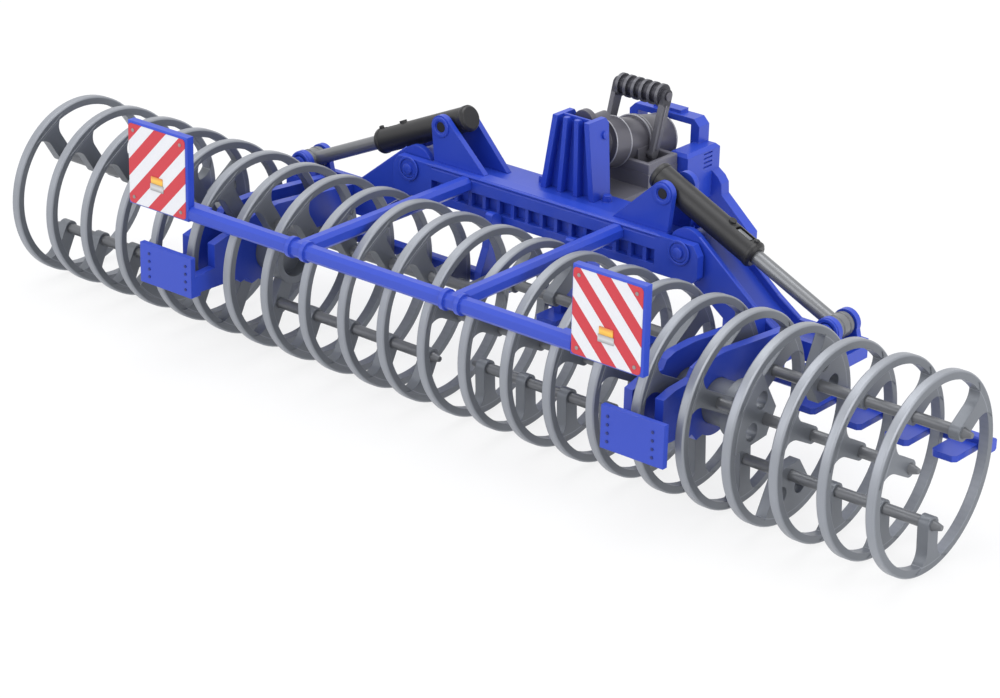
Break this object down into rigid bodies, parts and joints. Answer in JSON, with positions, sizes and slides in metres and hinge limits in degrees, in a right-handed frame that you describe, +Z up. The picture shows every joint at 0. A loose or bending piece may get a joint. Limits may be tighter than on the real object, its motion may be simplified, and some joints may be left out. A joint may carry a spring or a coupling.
{
  "type": "toy furrow press",
  "caption": "Toy furrow press with two ring rollers on fold-up wings on toy cylinders, a guard frame with striped boards, and a rear coupling.",
  "frame": {"origin": "centre of the bounding box on the ground plane", "axes": "+X along the rollers, +Y towards the coupling, +Z up"},
  "size_m": [0.2514, 0.1079, 0.0616],
  "materials": {
    "blue_plastic": "moulded gloss",
    "ring_grey": "satin moulded",
    "rod_grey": "satin moulded, metallic look",
    "drum_grey": "satin moulded, metallic look",
    "barrel_black": "satin moulded"
  },
  "bodies": {
    "frame": {"main_beam": "blue_plastic", "cylinder_lugs": "blue_plastic", "tower": "blue_plastic", "guard_frame": "blue_plastic", "warning_boards": "blue_plastic", "headstock": "blue_plastic", "coupling_block": "drum_grey", "drum": "drum_grey"},
    "handle": {"handle": "drum_grey"},
    "left_wing": {"left_wing_arm": "blue_plastic", "left_carrier": "blue_plastic", "left_scraper": "blue_plastic"},
    "left_roller": {"left_rings": "ring_grey", "left_ring_rods": "rod_grey"},
    "left_barrel": {"left_barrel": "barrel_black"},
    "left_rod": {"left_cylinder_rod": "rod_grey"},
    "right_wing": {"right_wing_arm": "blue_plastic", "right_carrier": "blue_plastic", "right_scraper": "blue_plastic"},
    "right_roller": {"right_rings": "ring_grey", "right_ring_rods": "rod_grey"},
    "right_barrel": {"right_barrel": "barrel_black"},
    "right_rod": {"right_cylinder_rod": "rod_grey"}
  },
  "joints": [
    {"name": "right_fold", "type": "hinge", "parent": "frame", "child": "right_wing", "pos_m": [0.0392, 0.01141, 0.0396], "axis": [0, -1, 0], "range_deg": [0, 90]},
    {"name": "right_roller_spin", "type": "hinge", "parent": "right_wing", "child": "right_roller", "pos_m": [0.06407, -0.02209, 0.02187], "axis": [1, 0, 0], "continuous": true},
    {"name": "right_barrel_swing", "type": "hinge", "parent": "frame", "child": "right_barrel", "pos_m": [0.032, 0.01141, 0.0507], "axis": [0, -1, 0], "range_deg": [0, 82.58]},
    {"name": "right_rod_slide", "type": "slide", "parent": "right_barrel", "child": "right_rod", "axis": [-0.9109, 0, 0.4126], "range_m": [0, 0.01802]},
    {"name": "left_fold", "type": "hinge", "parent": "frame", "child": "left_wing", "pos_m": [-0.0392, 0.01141, 0.0396], "axis": [0, 1, 0], "range_deg": [0, 90]},
    {"name": "left_roller_spin", "type": "hinge", "parent": "left_wing", "child": "left_roller", "pos_m": [-0.06407, -0.02209, 0.02187], "axis": [1, 0, 0], "continuous": true},
    {"name": "left_barrel_swing", "type": "hinge", "parent": "frame", "child": "left_barrel", "pos_m": [-0.032, 0.01141, 0.0507], "axis": [0, 1, 0], "range_deg": [0, 82.58]},
    {"name": "left_rod_slide", "type": "slide", "parent": "left_barrel", "child": "left_rod", "axis": [0.9109, 0, 0.4126], "range_m": [0, 0.01802]},
    {"name": "handle_swing", "type": "hinge", "parent": "frame", "child": "handle", "pos_m": [0, 0.03651, 0.0458], "axis": [1, 0, 0], "range_deg": [-22, 36]}
  ],
  "couplings": [
    {"joint": "right_barrel_swing", "follows": "right_fold", "ratio": 0.91752},
    {"joint": "right_rod_slide", "follows": "right_fold", "m_per_rad": 0.011472},
    {"joint": "left_barrel_swing", "follows": "left_fold", "ratio": 0.91752},
    {"joint": "left_rod_slide", "follows": "left_fold", "m_per_rad": 0.011472}
  ]
}
